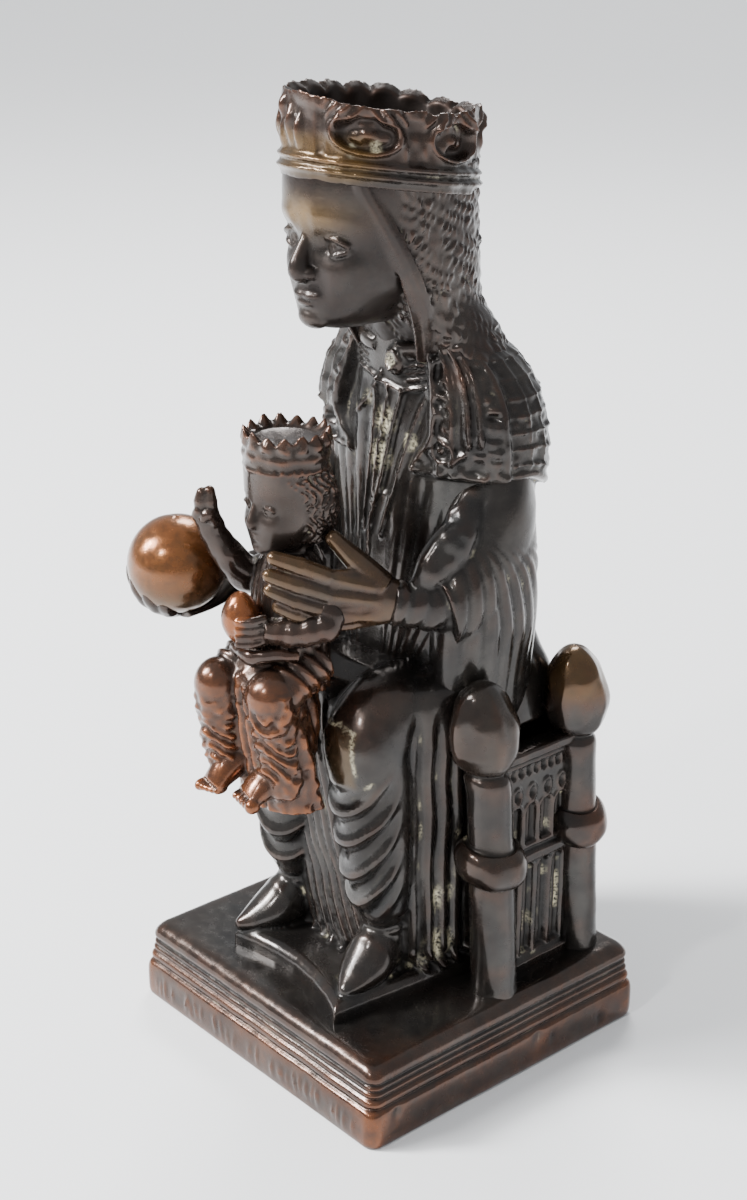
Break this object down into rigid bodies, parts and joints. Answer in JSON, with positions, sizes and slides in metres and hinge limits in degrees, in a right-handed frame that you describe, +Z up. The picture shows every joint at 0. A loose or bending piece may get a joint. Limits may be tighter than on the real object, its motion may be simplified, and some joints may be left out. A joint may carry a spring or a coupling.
{
  "type": "seated mother and child statuette",
  "caption": "Cast metal tabletop statuette of a crowned, veiled mother enthroned on a four-post seat over a square moulded plinth, an orb in one hand and a crowned child on her lap.",
  "frame": {"origin": "middle of the plinth's underside", "axes": "+Z up, the figures look along -Y, +X on the mother's left"},
  "size_m": [0.086, 0.0965, 0.2218],
  "materials": {
    "patinated_metal": "dark brown to black glossy patina over a cast copper alloy, rubbed to copper on raised edges, pale polish residue in the crevices"
  },
  "bodies": {
    "root": {"mother_and_child_statuette": "patinated_metal"}
  },
  "joints": []
}
